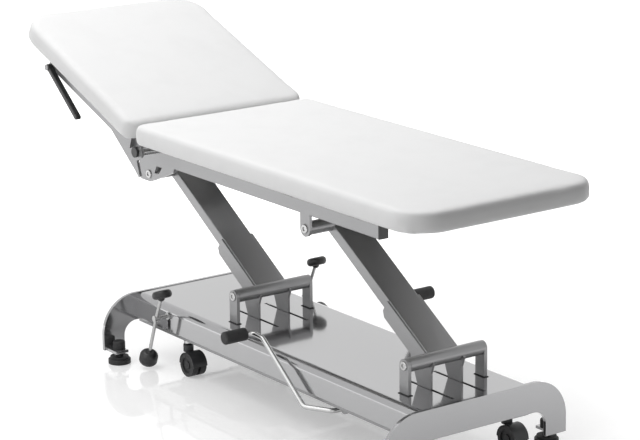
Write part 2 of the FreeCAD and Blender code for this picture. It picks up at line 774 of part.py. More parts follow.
def upper_rails():
    """The two rails of the top, each with its pivot plates, and their end caps."""
    for label, side in SIDES:
        body = new_body("rail_" + label)
        y0, y1 = span(side, d.stand_face - d.rail_width, d.stand_face)
        x0 = -d.rail_head_out
        x1 = d.pivot_span + d.rail_foot_out
        low, top = d.rail_above_pivot, d.rail_above_pivot + d.rail_height
        slab(body, "Y", y0, y1, [rect(x0, x1, low, top)])
        round_edges(body, 3, along("X", [(y0, low), (y0, top), (y1, low), (y1, top)]))
        i0, i1 = span(side, d.stand_face - d.rail_width + d.rail_wall, d.stand_face - d.rail_wall)
        slab(body, "Y", i0, i1, [rect(x0 - 1, x1 + 1, low + d.rail_wall, top - d.rail_wall)], cut=True)
        p0, p1 = span(side, d.stand_face - d.bracket_thick, d.stand_face)
        for x in (as_dim(0), d.pivot_span):
            slab(body, "Y", p0, p1, [rect(x - d.bracket_r, x + d.bracket_r, 0, low + 3)])
            slab(body, "Y", p0, p1, [(x, 0, d.bracket_r)])
        gusset = [(-52, low + 3), (-52, -14), (-44, -d.bracket_r), (0, -d.bracket_r),
                  (24, -16), (132, low - 12), (140, low + 3)]
        slab(body, "Y", p0, p1, [gusset])
        window = [(30, 8), (54, 10), (72, 32), (42, 31)]
        slab(body, "Y", p0 - 1, p1 + 1, [window], cut=True)
        for x in (as_dim(0), d.pivot_span):
            slab(body, "Y", p0 - 1, p1 + 1, [(x, 0, d.shaft_r)], cut=True)
        saddle = hinge_x - upper_x
        slab(body, "Y", y0, y1, [rect(saddle - 19, saddle + 19, top, top + d.saddle_height)])
        slab(body, "Y", y0 - 1, y1 + 1, [(saddle, top + d.hinge_tube_r, d.hinge_tube_r)], cut=True)
        place(body, upper_x + shift, 0, upper_z)
    for end in ("head", "foot"):
        x = upper_x if end == "head" else upper_x + d.pivot_span
        pivot_shaft("pivot_shaft_%s_high" % end, x + shift, upper_z)
    caps = new_body("rail_caps")
    low, top = d.rail_above_pivot, d.rail_above_pivot + d.rail_height
    for label, side in SIDES:
        y0, y1 = span(side, d.stand_face - d.rail_width, d.stand_face)
        i0, i1 = span(side, d.stand_face - d.rail_width + d.rail_wall, d.stand_face - d.rail_wall)
        x1 = d.pivot_span + d.rail_foot_out
        slab(caps, "Y", y0, y1, [rect(x1, x1 + d.cap_thick, low, top)])
        slab(caps, "Y", i0, i1, [rect(x1 - 18, x1, low + d.rail_wall, top - d.rail_wall)])
    place(caps, upper_x + shift, 0, upper_z)


def top_cross_tubes():
    """Cross tubes on the rails that carry the main board, and the hinge tube with its caps."""
    long_half = d.cross_len / 2
    tubes = (
        ("cross_tube_head", hinge_x - upper_x + d.cross_from_hinge, d.stand_face),
        ("cross_tube_mid", d.pivot_span - d.cross_before_pivot, long_half),
        ("cross_tube_foot", d.pivot_span + d.cross_past_pivot, long_half),
    )
    for name, x, half in tubes:
        body = new_body(name)
        low = d.rail_above_pivot + d.rail_height
        high = low + d.cross_height
        slab(body, "Y", -half, half, [rect(x, x + d.cross_width, low, high)])
        wall = d.cross_wall
        bore = rect(x + wall, x + d.cross_width - wall, low + wall, high - wall)
        slab(body, "Y", -half - 1, half + 1, [bore], cut=True)
        place(body, upper_x + shift, 0, upper_z)
    hinge = new_body("hinge_tube")
    half = d.hinge_tube_len / 2
    slab(hinge, "Y", -half, half, [(0, 0, d.hinge_tube_r)])
    plug = d.hinge_plug
    slab(hinge, "Y", -half + plug, half - plug, [(0, 0, d.hinge_tube_r - d.hinge_wall)], cut=True)
    place(hinge, hinge_x + shift, 0, hinge_z)
    caps = new_body("hinge_caps")
    for side in (-1, 1):
        slab(caps, "Y", *span(side, half, half + d.hinge_cap_len), [(0, 0, d.hinge_cap_r)])
    place(caps, hinge_x + shift, 0, hinge_z)


def padded_slab(name, x0, x1, z0, large_end, small_end):
    """A pad with rounded corners and edges, hollowed below for its board."""
    body = new_body(name)
    slab(body, "Z", z0, z0 + d.pad_thick, [rect(x0, x1, -half_pad, half_pad)])
    if large_end is not None:
        round_edges(body, d.pad_corner_large, along("Z", [(large_end, -half_pad), (large_end, half_pad)]))
    if small_end is not None:
        round_edges(body, d.pad_corner_small, along("Z", [(small_end, -half_pad), (small_end, half_pad)]))
    return body


def main_section():
    """The main pad and the board set into its underside."""
    end = d.main_pad_len
    pad = padded_slab("main_pad", 0, end, 0, end, 0)
    round_edges(pad, d.pad_edge_top, level("Z", d.pad_thick))
    round_edges(pad, d.pad_edge_low, level("Z", 0))
    inset = d.board_inset
    board_rect = rect(inset, end - 2 * inset, inset - half_pad, half_pad - inset)
    slab(pad, "Z", 0, d.board_thick, [board_rect], cut=True)
    corners = along("Z", [(end - 2 * inset, inset - half_pad), (end - 2 * inset, half_pad - inset)])
    round_edges(pad, d.board_round, corners)
    place(pad, main_pad_x + shift, 0, pad_low)
    board = new_body("main_board")
    slab(board, "Z", 0, d.board_thick, [board_rect])
    round_edges(board, d.board_round, corners)
    place(board, main_pad_x + shift, 0, pad_low)


def back_section():
    """The backrest: pad, its soft strip at the hinge, board, frame and release lever."""
    z0 = pad_over_hinge
    start = -d.back_start
    split = -d.back_start - d.edge_strip_len
    end = -back_len
    inset = d.board_inset
    far_end = end + 2 * inset
    board_rect = rect(far_end, start - inset, inset - half_pad, half_pad - inset)
    pad = padded_slab("back_pad", end, split, z0, end, None)

    def not_at_split(edge):
        return edge.BoundBox.XMax < split.value - 0.01 or edge.BoundBox.XLength > 1
    round_edges(pad, d.pad_edge_top, level("Z", z0 + d.pad_thick, not_at_split))
    round_edges(pad, d.pad_edge_low, level("Z", z0, not_at_split))
    slab(pad, "Z", z0, z0 + d.board_thick, [board_rect], cut=True)
    corners = along("Z", [(far_end, inset - half_pad), (far_end, half_pad - inset)])
    round_edges(pad, d.board_round, corners)
    place(pad, hinge_x + shift, 0, hinge_z, d.back_angle)

    strip = padded_slab("back_pad_edge", split, start, z0, None, start)

    def not_at_strip_split(edge):
        return edge.BoundBox.XMin > split.value + 0.01 or edge.BoundBox.XLength > 1
    round_edges(strip, d.pad_edge_top, level("Z", z0 + d.pad_thick, not_at_strip_split))
    round_edges(strip, d.pad_edge_low, level("Z", z0, not_at_strip_split))
    slab(strip, "Z", z0, z0 + d.board_thick, [board_rect], cut=True)
    place(strip, hinge_x + shift, 0, hinge_z, d.back_angle)

    board = new_body("back_board")
    slab(board, "Z", z0, z0 + d.board_thick, [board_rect])
    round_edges(board, d.board_round, corners)
    place(board, hinge_x + shift, 0, hinge_z, d.back_angle)

    frame = new_body("back_frame")
    for side in (-1, 1):
        y0, y1 = span(side, d.back_rail_face - d.back_rail_width, d.back_rail_face)
        slab(frame, "Y", y0, y1, [rect(-d.back_rail_len, -24, z0 - d.back_rail_height, z0)])
        ear_in = d.back_rail_face - d.back_rail_width
        e0, e1 = span(side, ear_in, ear_in + d.ear_thick)
        ear = [(-d.ear_back, z0), (-d.ear_back, 0), (-123, -22), (3, -61), (26, -70), (30, -64),
               (2, -30), (20, -8), (20, 8), (8, 22), (-24, z0)]
        slab(frame, "Y", e0, e1, [ear])
        slab(frame, "Y", e0 - 1, e1 + 1, [(0, 0, d.hinge_tube_r + d.running_fit)], cut=True)
    inner = d.back_rail_face - d.back_rail_width
    for x in (-d.back_cross_start, -d.back_rail_len + d.back_cross_end):
        slab(frame, "Y", -inner, inner, [rect(x - d.back_cross_width, x, z0 - d.back_cross_height, z0)])
    pin = back_pin()
    lug = [(-105, z0), (-105, 0), (18, -58), (34, -62), (46, -57), (48, -44),
           (34, -14), (20, 8), (10, 22), (-24, z0)]
    for side in (-1, 1):
        y0, y1 = span(side, d.strut_lug_in, d.strut_lug_in + d.strut_lug_thick)
        slab(frame, "Y", y0, y1, [lug])
        slab(frame, "Y", y0 - 1, y1 + 1, [(0, 0, d.hinge_tube_r + d.running_fit)], cut=True)
    lug_out = d.strut_lug_in + d.strut_lug_thick
    slab(frame, "Y", -lug_out, lug_out, [(pin[0], pin[1], d.strut_pin_r)])
    lever_y = -d.back_rail_face
    for y, long, radius in ((0, 4, d.lever_boss_r), (4, 16.5, d.lever_pin_r), (20.5, 3, d.lever_boss_r - 1)):
        slab(frame, "Y", lever_y - y - long, lever_y - y, [(-lever_back, d.lever_above, radius)])
    place(frame, hinge_x + shift, 0, hinge_z, d.back_angle)


def back_pin():
    """Where the gas strut's pin sits on the backrest lugs, from the hinge."""
    return d.back_lug_r * sind(d.back_lug_lean), -d.back_lug_r * cosd(d.back_lug_lean)


def release_lever():
    """The black hand lever on the near side of the backrest."""
    body = new_body("release_lever")
    y1 = -d.back_rail_face - 4.3
    y0 = -d.back_rail_face - 20.2
    x = hinge_x - lever_back * cosd(d.back_angle) + d.lever_above * sind(d.back_angle)
    z = hinge_z + lever_back * sind(d.back_angle) + d.lever_above * cosd(d.back_angle)
    slab(body, "Y", y0, y1, [rect(0, d.lever_len, -d.lever_r, d.lever_r)])
    slab(body, "Y", y0, y1, [(0, 0, d.lever_boss_r)])
    slab(body, "Y", y0, y1, [(d.lever_len, 0, d.lever_r)])
    round_edges(body, 2.5, level("Y", y0))
    slab(body, "Y", y0 - 1, y1 + 1, [(0, 0, d.lever_pin_r + d.running_fit)], cut=True)
    place(body, x + shift, 0, z, d.back_angle + d.lever_lean)


def gas_strut():
    """The gas strut of the backrest: a cylinder under the board and a rod with a slotted yoke."""
    axis_z = hinge_z - d.strut_drop
    cylinder = new_body("strut_cylinder")
    front = d.strut_start
    slab(cylinder, "X", front, front + d.strut_len, [(0, 0, d.strut_r)])
    bore_end = front + d.strut_len - d.strut_back_wall
    slab(cylinder, "X", front, bore_end, [(0, 0, d.strut_rod_r + d.running_fit)], cut=True)
    tube_x = d.cross_from_hinge
    inset = d.strut_bracket_in
    bracket = rect(tube_x + inset, tube_x + d.cross_width - inset, d.strut_bracket_low, rail_top - axis_z)
    slab(cylinder, "Y", -d.strut_bracket_y, d.strut_bracket_y, [bracket])
    place(cylinder, hinge_x + shift, 0, axis_z)
    rod = new_body("strut_rod")
    pin = back_pin()
    play = d.strut_pin_r + d.yoke_play
    slab(rod, "X", play + 2, d.strut_rod_len, [(0, 0, d.strut_rod_r)])
    slab(rod, "Y", -d.yoke_thick / 2, d.yoke_thick / 2, [rect(-play - 6, play + 6, -17, 20)])
    slab(rod, "Y", -d.yoke_thick, d.yoke_thick, [rect(-play, play, -10.5, 13.5)], cut=True)
    reach = pin[0] * cosd(d.back_angle) + pin[1] * sind(d.back_angle)
    place(rod, hinge_x + reach + shift, 0, axis_z)


def castors():
    """Twin-wheel castors under the side members: a hooded swivel fork and its wheels."""
    trail, wheel_r, web = d.castor_trail, d.castor_wheel_r, d.castor_web
    width = d.castor_wheel_width
    hub_y = web / 2 + 0.5
    hood_half = hub_y + width + 0.5
    for end, x in (("head", d.castor_x_head), ("foot", castor_x_foot)):
        for label, side in SIDES:
            fork = new_body("castor_fork_%s_%s" % (end, label))
            hood = d.castor_hood_r
            slab(fork, "Y", -hood_half, hood_half, [(trail, wheel_r, hood)])
            inner = hood - d.castor_hood_sheet
            slab(fork, "Y", -hood_half - 1, hood_half + 1, [(trail, wheel_r, inner)], cut=True)
            below = rect(trail - hood - 1, trail + hood + 1, wheel_r - hood - 1, wheel_r)
            slab(fork, "Y", -hood_half - 1, hood_half + 1, [below], cut=True)
            slab(fork, "Y", -web / 2, web / 2, [rect(trail - 13, trail + 13, wheel_r, wheel_r + hood - 3)])
            slab(fork, "Y", -web / 2, web / 2, [(trail, wheel_r, 13)])
            slab(fork, "Y", -web, web, [(trail, wheel_r, d.castor_axle_r + d.running_fit)], cut=True)
            slab(fork, "Z", wheel_r + hood - 4, d.castor_boss_top, [(0, 0, d.castor_boss_r)])
            slab(fork, "Z", d.castor_boss_top, d.member_low - 1, [(0, 0, d.castor_neck_r)])
            slab(fork, "Z", d.member_low - 1, member_top - d.member_wall - 1, [(0, 0, d.castor_stem_r)])
            place(fork, x + shift, side * d.castor_y, 0)
            wheels = new_body("castor_wheels_%s_%s" % (end, label))
            for half in (-1, 1):
                y0, y1 = span(half, hub_y, hub_y + width)
                slab(wheels, "Y", y0, y1, [(0, 0, wheel_r)])
                outer = span(half, hub_y + width - 4, hub_y + width + 1)
                slab(wheels, "Y", outer[0], outer[1], [(0, 0, wheel_r - 11)], cut=True)
                cap = span(half, hub_y + width - 5, hub_y + width - 1)
                slab(wheels, "Y", cap[0], cap[1], [(0, 0, d.castor_cap_r)])
            slab(wheels, "Y", -hub_y, hub_y, [(0, 0, d.castor_axle_r)])
            place(wheels, x + trail + shift, side * d.castor_y, wheel_r)


def foot_pedals():
    """The cranked foot bar through the base, with a grip on each side."""
    out = d.pedal_rod_y
    end = out + d.grip_len
    near = (d.grip_near_x, d.grip_near_z)
    far = (d.grip_far_x, d.grip_far_z)
    path = [
        (near[0], -end, near[1]), (near[0], -out, near[1]),
        (d.near_knee_x, -out, d.near_knee_z), (d.near_heel_x, -out, d.near_heel_z),
        (0, -d.pedal_inner_y, 0), (0, d.pedal_inner_y, 0),
        (d.far_heel_x, out, d.far_heel_z), (far[0], out, far[1]), (far[0], end, far[1]),
    ]
    bar = rod_part("pedal_bar", bent_rod(path, d.pedal_rod_r, d.pedal_bend_r))
    place(bar, pedal_x + shift, 0, d.pedal_z)
    for label, side, spot in (("near", -1, near), ("far", 1, far)):
        grip = new_body("pedal_grip_" + label)
        y0, y1 = span(side, out + d.grip_start, end + d.grip_end)
        slab(grip, "Y", y0, y1, [(0, 0, d.grip_r)])
        round_edges(grip, 5, lambda e: e.BoundBox.YLength < 0.01)
        h0, h1 = span(side, out + d.grip_start - 2, end)
        slab(grip, "Y", h0, h1, [(0, 0, d.pedal_rod_r)], cut=True)
        place(grip, pedal_x + spot[0] + shift, 0, d.pedal_z + spot[1])


def disc_knob(name, x, y, z, rod_turn):
    """A flat round knob that leans back from its rod, on a ball that takes the rod's end."""
    lean = math.radians(d.disc_knob_lean.value)
    axis = VEC(math.sin(lean), 0, math.cos(lean))
    long = d.disc_knob_len.value
    disc = Part.makeCylinder(d.disc_knob_r.value, long, axis * (-long / 2), axis)
    rims = [edge for edge in disc.Edges if isinstance(edge.Curve, Part.Circle)]
    disc = disc.makeFillet(d.disc_knob_round.value, rims)
    turn = math.radians(rod_turn)
    rod = VEC(math.sin(turn), 0, math.cos(turn))
    ball = Part.makeSphere(d.collar_r.value, rod * -long / 2)
    hole = Part.makeCylinder(d.rocker_rod_r.value, 2 * long, VEC(0, 0, 0), rod * -1)
    knob = rod_part(name, disc.fuse(ball).cut(hole).removeSplitter())
    place(knob, x, y, z)


def rockers():
    """The rocking foot levers at the head end, each on a cross shaft, with two knobs."""
    levers = (
        ("near", -1, d.rocker_near_x, (d.near_up_x, d.near_up_z), (d.near_low_x, d.near_low_z)),
        ("far", 1, d.rocker_far_x, (d.far_up_x, d.far_up_z), (d.far_low_x, d.far_low_z)),
    )
    for label, side, x, up, down in levers:
        y = side * d.rocker_y
        path = [(down[0], y, down[1]), (0, y, 0), (up[0], y, up[1])]
        rod = bent_rod(path, d.rocker_rod_r, d.rocker_bend_r)
        shaft_in = (member_y0 - d.collar_len - d.stand_gap - 1).value
        shaft_len = d.rocker_y.value - shaft_in
        shaft_y = y.value if side < 0 else shaft_in
        shaft = Part.makeCylinder(d.rocker_shaft_r.value, shaft_len, VEC(0, shaft_y, 0), VEC(0, 1, 0))
        shape = rod.fuse(shaft)
        long = d.collar_len.value
        inner_collar = (member_y0 - d.stand_gap).value - long
        outer_collar = (half_cover + d.stand_gap).value
        for collar_y in (inner_collar, outer_collar):
            start = -collar_y - long if side < 0 else collar_y
            shape = shape.fuse(Part.makeCylinder(d.collar_r.value, long, VEC(0, start, 0), VEC(0, 1, 0)))
        hub = Part.makeCylinder(d.rocker_hub_r.value, 16, VEC(0, y.value - 8, 0), VEC(0, 1, 0))
        shape = shape.fuse(hub).removeSplitter()
        rocker = rod_part("rocker_" + label, shape)
        place(rocker, x + shift, 0, d.rocker_z)
        up_turn = math.degrees(math.atan2(up[0].value, up[1].value))
        disc_knob("rocker_%s_knob_top" % label, x + up[0] + shift, y, d.rocker_z + up[1], up_turn)
        reach = math.hypot(down[0].value, down[1].value)
        down_turn = math.degrees(math.atan2(down[0].value, down[1].value))
        knob = new_body("rocker_%s_knob_low" % label)
        slab(knob, "Z", 0, d.low_knob_len, [(0, 0, d.knob_r)])
        round_edges(knob, d.low_knob_round, lambda e: e.BoundBox.ZLength < 0.01)
        slab(knob, "Z", -1, 16, [(0, 0, d.rocker_rod_r)], cut=True)
        start = (reach - 16) / reach
        place(knob, x + down[0] * start + shift, y, d.rocker_z + down[1] * start, as_dim(down_turn))


def write_parts():
    doc.recompute()
    broken = [obj for obj in doc.Objects if "Invalid" in obj.State or "Error" in obj.State]
    for obj in broken:
        owners = [parent.Label for parent in obj.InList if parent.TypeId == "PartDesign::Body"]
        print("did not build: %s in %s" % (obj.Name, owners))
    if broken:
        raise RuntimeError("some objects did not build")
    os.makedirs("parts", exist_ok=True)
    for part in parts:
        shape = part.Shape
        if shape.isNull() or not shape.isValid():
            raise RuntimeError(part.Label + " has no valid shape")
    for part in parts:
        part.Shape.exportStep("parts/%s.step" % part.Label)
        print("%-26s solids %d volume %.0f" % (part.Label, len(part.Shape.Solids), part.Shape.Volume))


end_plates()
levellers()
base_frame()
cover()
stands()
arms()
lift_drive()
upper_rails()
top_cross_tubes()
main_section()
back_section()
release_lever()
gas_strut()
castors()
foot_pedals()
rockers()
write_parts()
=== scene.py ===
import json
import math

import bmesh
import bpy
from mathutils import Matrix, Vector

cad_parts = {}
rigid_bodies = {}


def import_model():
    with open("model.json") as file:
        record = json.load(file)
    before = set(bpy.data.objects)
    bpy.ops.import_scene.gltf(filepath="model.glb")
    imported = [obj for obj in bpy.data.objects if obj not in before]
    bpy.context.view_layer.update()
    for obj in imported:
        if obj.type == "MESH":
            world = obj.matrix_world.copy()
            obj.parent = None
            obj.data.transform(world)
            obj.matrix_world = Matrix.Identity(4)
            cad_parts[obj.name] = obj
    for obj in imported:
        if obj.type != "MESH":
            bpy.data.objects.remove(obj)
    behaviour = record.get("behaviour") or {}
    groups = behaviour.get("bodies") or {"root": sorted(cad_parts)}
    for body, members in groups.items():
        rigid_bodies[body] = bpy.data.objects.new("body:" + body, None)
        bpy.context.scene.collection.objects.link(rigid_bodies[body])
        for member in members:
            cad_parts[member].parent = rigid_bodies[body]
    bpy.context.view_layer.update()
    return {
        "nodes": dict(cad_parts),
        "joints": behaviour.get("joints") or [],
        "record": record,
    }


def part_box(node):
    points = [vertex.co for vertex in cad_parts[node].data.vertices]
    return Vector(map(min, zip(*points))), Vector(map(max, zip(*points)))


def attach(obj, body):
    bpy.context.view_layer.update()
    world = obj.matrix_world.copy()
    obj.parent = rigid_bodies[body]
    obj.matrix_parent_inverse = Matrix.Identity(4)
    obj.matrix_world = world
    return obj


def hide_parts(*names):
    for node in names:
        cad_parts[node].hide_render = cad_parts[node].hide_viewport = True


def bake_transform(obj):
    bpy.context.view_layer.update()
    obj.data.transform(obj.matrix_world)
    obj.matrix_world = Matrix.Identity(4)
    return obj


# Examination table: finishes, upholstery, small fittings, studio and camera.
# Metres, in the part's own frame: X to the foot end, Y to the far side, Z up.

for leftover in list(bpy.data.objects):
    bpy.data.objects.remove(leftover)

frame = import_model()
joints = {j["name"]: j for j in frame["joints"]}
slot_of = {s["node"]: s["material_slot"] for s in frame["record"]["subparts"]}

# Sizes of the two pads. Their corners are tight at the hinge and wide at the outer ends.
PAD_THICK = 0.056
PAD_HALF = 0.310
BACK_LENGTH = 0.656
BACK_ANGLE = math.radians(20.8)
HINGE_GAP = 0.005
HINGE_TO_PAD = 0.035
HINGE_CORNER = 0.038
OUTER_CORNER = 0.100
LEAST_CORNER = 0.003
TOP_ROUND = 0.017
LOW_ROUND = 0.008

# The pad's side bulges by this much at these heights, and its crown rises inward from the rim.
SIDE_BULGE = ((-0.0010, 0.020), (-0.0012, 0.028))
RIM_DROP = 0.0015
CROWN = ((0.035, -0.0008), (0.09, 0.0), (0.16, 0.0005))
COVER_SLACK = 0.0015
SIDE_PULL = 0.0012

# The board in the underside of each pad, and the play around it.
BOARD_THICK = 0.012
BOARD_INSET = 0.024
BOARD_PLAY = 0.001
BOARD_MARGIN = 0.01

# How finely the pads are drawn, and how the cover swells.
LOOP_STEP = 0.025
CORNER_STEPS = 12
LOW_RIM_STEPS = 3
TOP_RIM_STEPS = 6
MERGE_DISTANCE = 0.00001
VOXEL = 0.006
PRESSURE = 4.0
CLOTH_FRAMES = 20
SWELL_CAP = 0.003
UNDERSIDE = 0.018

# Fittings on the base: black strips of painted shade under the crank slots, lips at the stands,
# sleeves of the castors.
SLOT_MID_Y = 0.051
SLOT_HALF_LENGTH = 0.105
SLOT_EDGES = (-0.0075, 0.0065)
SLOT_SHADE_SIDES = (-0.0005, 0.0015)
SLOT_SHADE_DROP = 0.0022
SLOT_SHADE_HEIGHT = 0.009
LIP_PROFILE = ((0.0002, 0.0003), (0.0034, 0.0003), (0.0026, 0.0016), (0.0002, 0.0026))
COLLAR_HEIGHTS = (0.0885, 0.1020)
COLLAR_RADII = (0.0111, 0.0128)
COLLAR_STEPS = 32

# The floor is a wide square just under the feet.
FLOOR_HALF = 12
FLOOR_DROP = 0.0005


# Objects and meshes

def new_object(name, data):
    obj = bpy.data.objects.new(name, data)
    bpy.context.scene.collection.objects.link(obj)
    return obj


def mesh_object(name, bm):
    """An object with the given faces, all turned outward."""
    bmesh.ops.recalc_face_normals(bm, faces=bm.faces)
    mesh = bpy.data.meshes.new(name)
    bm.to_mesh(mesh)
    bm.free()
    return new_object(name, mesh)


def bridge(bm, low, high):
    """Faces between two closed rings with as many points each."""
    for i in range(len(low)):
        j = (i + 1) % len(low)
        bm.faces.new((low[i], low[j], high[j], high[i]))


def closed_band(bm, rings):
    """Faces from each ring to the next, and from the last ring back to the first."""
    loops = [[bm.verts.new(p) for p in ring] for ring in rings]
    for low, high in zip(loops, loops[1:] + loops[:1]):
        bridge(bm, low, high)


# Shader nodes

def new_material(name):
    mat = bpy.data.materials.new(name)
    mat.use_nodes = True
    tree = mat.node_tree
    return mat, tree, tree.nodes["Principled BSDF"]


def add_node(tree, kind, inputs=None, **settings):
    """A node with its settings, and plain values on its inputs."""
    node = tree.nodes.new(kind)
    for key, value in settings.items():
        setattr(node, key, value)
    set_inputs(node, inputs or {})
    return node


def set_inputs(node, values):
    for name, value in values.items():
        node.inputs[name].default_value = value


def feed(tree, socket, value):
    """Set a socket to a number or a colour, or link it to another node's output."""
    if isinstance(value, bpy.types.NodeSocket):
        tree.links.new(value, socket)
    elif isinstance(value, tuple):
        socket.default_value = (*value, 1)
    else:
        socket.default_value = value


def object_coords(tree):
    return add_node(tree, "ShaderNodeTexCoord").outputs["Object"]


def stretched_coords(tree, stretch):
    mapping = add_node(tree, "ShaderNodeMapping", {"Scale": stretch})
    feed(tree, mapping.inputs["Vector"], object_coords(tree))
    return mapping.outputs["Vector"]


def noise(tree, coords, scale, detail=3.0, grit=0.5):
    node = add_node(tree, "ShaderNodeTexNoise", {"Scale": scale, "Detail": detail, "Roughness": grit})
    feed(tree, node.inputs["Vector"], coords)
    return node.outputs["Fac"]


def remap(tree, value, low, high, from_low=0.0, from_high=1.0):
    node = add_node(tree, "ShaderNodeMapRange", {
        "From Min": from_low, "From Max": from_high, "To Min": low, "To Max": high})
    feed(tree, node.inputs["Value"], value)
    return node.outputs["Result"]


def clouds(tree, coords, scale, detail=3.0, low=0.0, high=1.0, span=(0.3, 0.7)):
    """Soft noise, the middle of its range spread between two values."""
    return remap(tree, noise(tree, coords, scale, detail), low, high, *span)


def blend_colors(tree, share, first, second, blend_type="MIX"):
    node = add_node(tree, "ShaderNodeMix", data_type="RGBA", blend_type=blend_type)
    for name, value in (("Factor", share), ("A", first), ("B", second)):
        feed(tree, node.inputs[name], value)
    return node.outputs["Result"]


def math_node(tree, operation, first, second):
    node = add_node(tree, "ShaderNodeMath", operation=operation)
    feed(tree, node.inputs[0], first)
    feed(tree, node.inputs[1], second)
    return node.outputs["Value"]


def rounded_normal(tree, radius):
    """The surface's normal with its edges rounded off."""
    return add_node(tree, "ShaderNodeBevel", {"Radius": radius}, samples=6).outputs["Normal"]


def edge_mask(tree, radius):
    """Bright where the surface turns over an edge, for painted edge highlights."""
    dot = add_node(tree, "ShaderNodeVectorMath", operation="DOT_PRODUCT")
    feed(tree, dot.inputs[0], rounded_normal(tree, radius))
    feed(tree, dot.inputs[1], add_node(tree, "ShaderNodeNewGeometry").outputs["Normal"])
    return remap(tree, dot.outputs["Value"], low=1.0, high=0.0, from_low=0.80, from_high=0.995)


def surface_bump(tree, shader, height, strength, distance, edge=0.0):
    """Fine relief on the surface, over edges rounded by the given radius."""
    bump = add_node(tree, "ShaderNodeBump", {"Strength": strength, "Distance": distance})
    feed(tree, bump.inputs["Height"], height)
    if edge:
        feed(tree, bump.inputs["Normal"], rounded_normal(tree, edge))
    feed(tree, shader.inputs["Normal"], bump.outputs["Normal"])


def seen_directly(tree):
    """One for what the camera or a mirror sees, and nought for light on the object."""
    path = add_node(tree, "ShaderNodeLightPath")
    return math_node(tree, "MAXIMUM", path.outputs["Is Camera Ray"], path.outputs["Is Glossy Ray"])


def tint(color, factor, lift=0.0):
    """The colour made paler or darker."""
    return tuple(c * factor + lift for c in color)


# Finishes

def powder_coat(name, color, metallic, rough, coat, edge=0.0012):
    """Metallic powder coat: fine orange peel, very faint cloudiness and paler edges, a painted edge
    highlight broken up in patches.
    """
    mat, tree, shader = new_material(name)
    coords = object_coords(tree)
    base = blend_colors(tree, clouds(tree, coords, scale=3.0, detail=2.0), tint(color, 0.975), color)
    # Painted highlight: edges are made paler, in patches, where a rounded edge would catch the light.
    patches = clouds(tree, coords, scale=60.0, high=0.45, span=(0.4, 0.7))
    edge_highlight = math_node(tree, "MULTIPLY", edge_mask(tree, edge), patches)
    feed(tree, shader.inputs["Base Color"], blend_colors(tree, edge_highlight, base, tint(color, 1.35)))
    gloss = clouds(tree, coords, scale=4.0, detail=2.0, low=rough - 0.012, high=rough + 0.018)
    feed(tree, shader.inputs["Roughness"], gloss)
    peel = noise(tree, coords, scale=420.0, detail=1.0)
    surface_bump(tree, shader, peel, strength=0.06, distance=0.0001, edge=edge)
    set_inputs(shader, {"Metallic": metallic, "Coat Weight": coat, "Coat Roughness": 0.06})
    return mat


def plated_steel(name, color, rough, drawn_along=1):
    """Satin plated or polished steel with faint drawn lines along one axis."""
    mat, tree, shader = new_material(name)
    stretch = [260.0, 260.0, 260.0]
    stretch[drawn_along] = 9.0
    lines = noise(tree, stretched_coords(tree, stretch), scale=1.0, detail=4.0)
    feed(tree, shader.inputs["Base Color"], blend_colors(tree, lines, tint(color, 0.88), color))
    feed(tree, shader.inputs["Roughness"], remap(tree, lines, low=rough - 0.06, high=rough + 0.08))
    surface_bump(tree, shader, lines, strength=0.06, distance=0.0002, edge=0.0006)
    set_inputs(shader, {"Metallic": 1.0})
    return mat


def moulded_plastic(name, color, rough, grain=1400.0, depth=0.00012):
    """Moulded plastic with a fine spark-eroded grain and slightly paler edges, a painted edge
    highlight.
    """
    mat, tree, shader = new_material(name)
    coords = object_coords(tree)
    base = blend_colors(tree, clouds(tree, coords, scale=30.0, detail=4.0), tint(color, 0.85), color)
    # Painted highlight: edges are made paler where a rounded edge would catch the light.
    edge_highlight = math_node(tree, "MULTIPLY", edge_mask(tree, 0.0012), 0.35)
    paler = tint(color, 1.8, lift=0.04)
    feed(tree, shader.inputs["Base Color"], blend_colors(tree, edge_highlight, base, paler))
    gloss = clouds(tree, coords, scale=80.0, low=rough - 0.06, high=rough + 0.08)
    feed(tree, shader.inputs["Roughness"], gloss)
    pits = noise(tree, coords, scale=grain, detail=2.0)
    surface_bump(tree, shader, pits, strength=0.3, distance=depth, edge=0.0009)
    return mat


def leatherette(name, color):
    """White wipe-clean leatherette: tiny pebble grain, soft pull lines, faint handling marks."""
    mat, tree, shader = new_material(name)
    coords = object_coords(tree)
    marks = noise(tree, coords, scale=11.0, detail=6.0, grit=0.65)
    marks = remap(tree, marks, low=0.0, high=1.0, from_low=0.45, from_high=0.72)
    feed(tree, shader.inputs["Base Color"], blend_colors(tree, marks, color, tint(color, 0.975)))
    feed(tree, shader.inputs["Roughness"], clouds(tree, coords, scale=5.0, low=0.42, high=0.52))
    cells = add_node(tree, "ShaderNodeTexVoronoi", {"Scale": 950.0}, feature="DISTANCE_TO_EDGE")
    feed(tree, cells.inputs["Vector"], coords)
    grain = remap(tree, cells.outputs["Distance"], low=0.0, high=1.0, from_low=0.0, from_high=0.35)
    pull = noise(tree, coords, scale=26.0)
    relief = math_node(tree, "ADD", math_node(tree, "MULTIPLY", grain, 0.12), pull)
    surface_bump(tree, shader, relief, strength=0.35, distance=0.0009)
    set_inputs(shader, {"Sheen Weight": 0.08, "Sheen Roughness": 0.4, "Specular IOR Level": 0.4})
    return mat


def plywood(name, color):
    """Sanded board with a faint grain along it."""
    mat, tree, shader = new_material(name)
    grain = noise(tree, stretched_coords(tree, (3.0, 40.0, 40.0)), scale=1.5, detail=5.0, grit=0.6)
    feed(tree, shader.inputs["Base Color"], blend_colors(tree, grain, tint(color, 0.82), color))
    surface_bump(tree, shader, grain, strength=0.2, distance=0.0004)
    set_inputs(shader, {"Roughness": 0.6})
    return mat


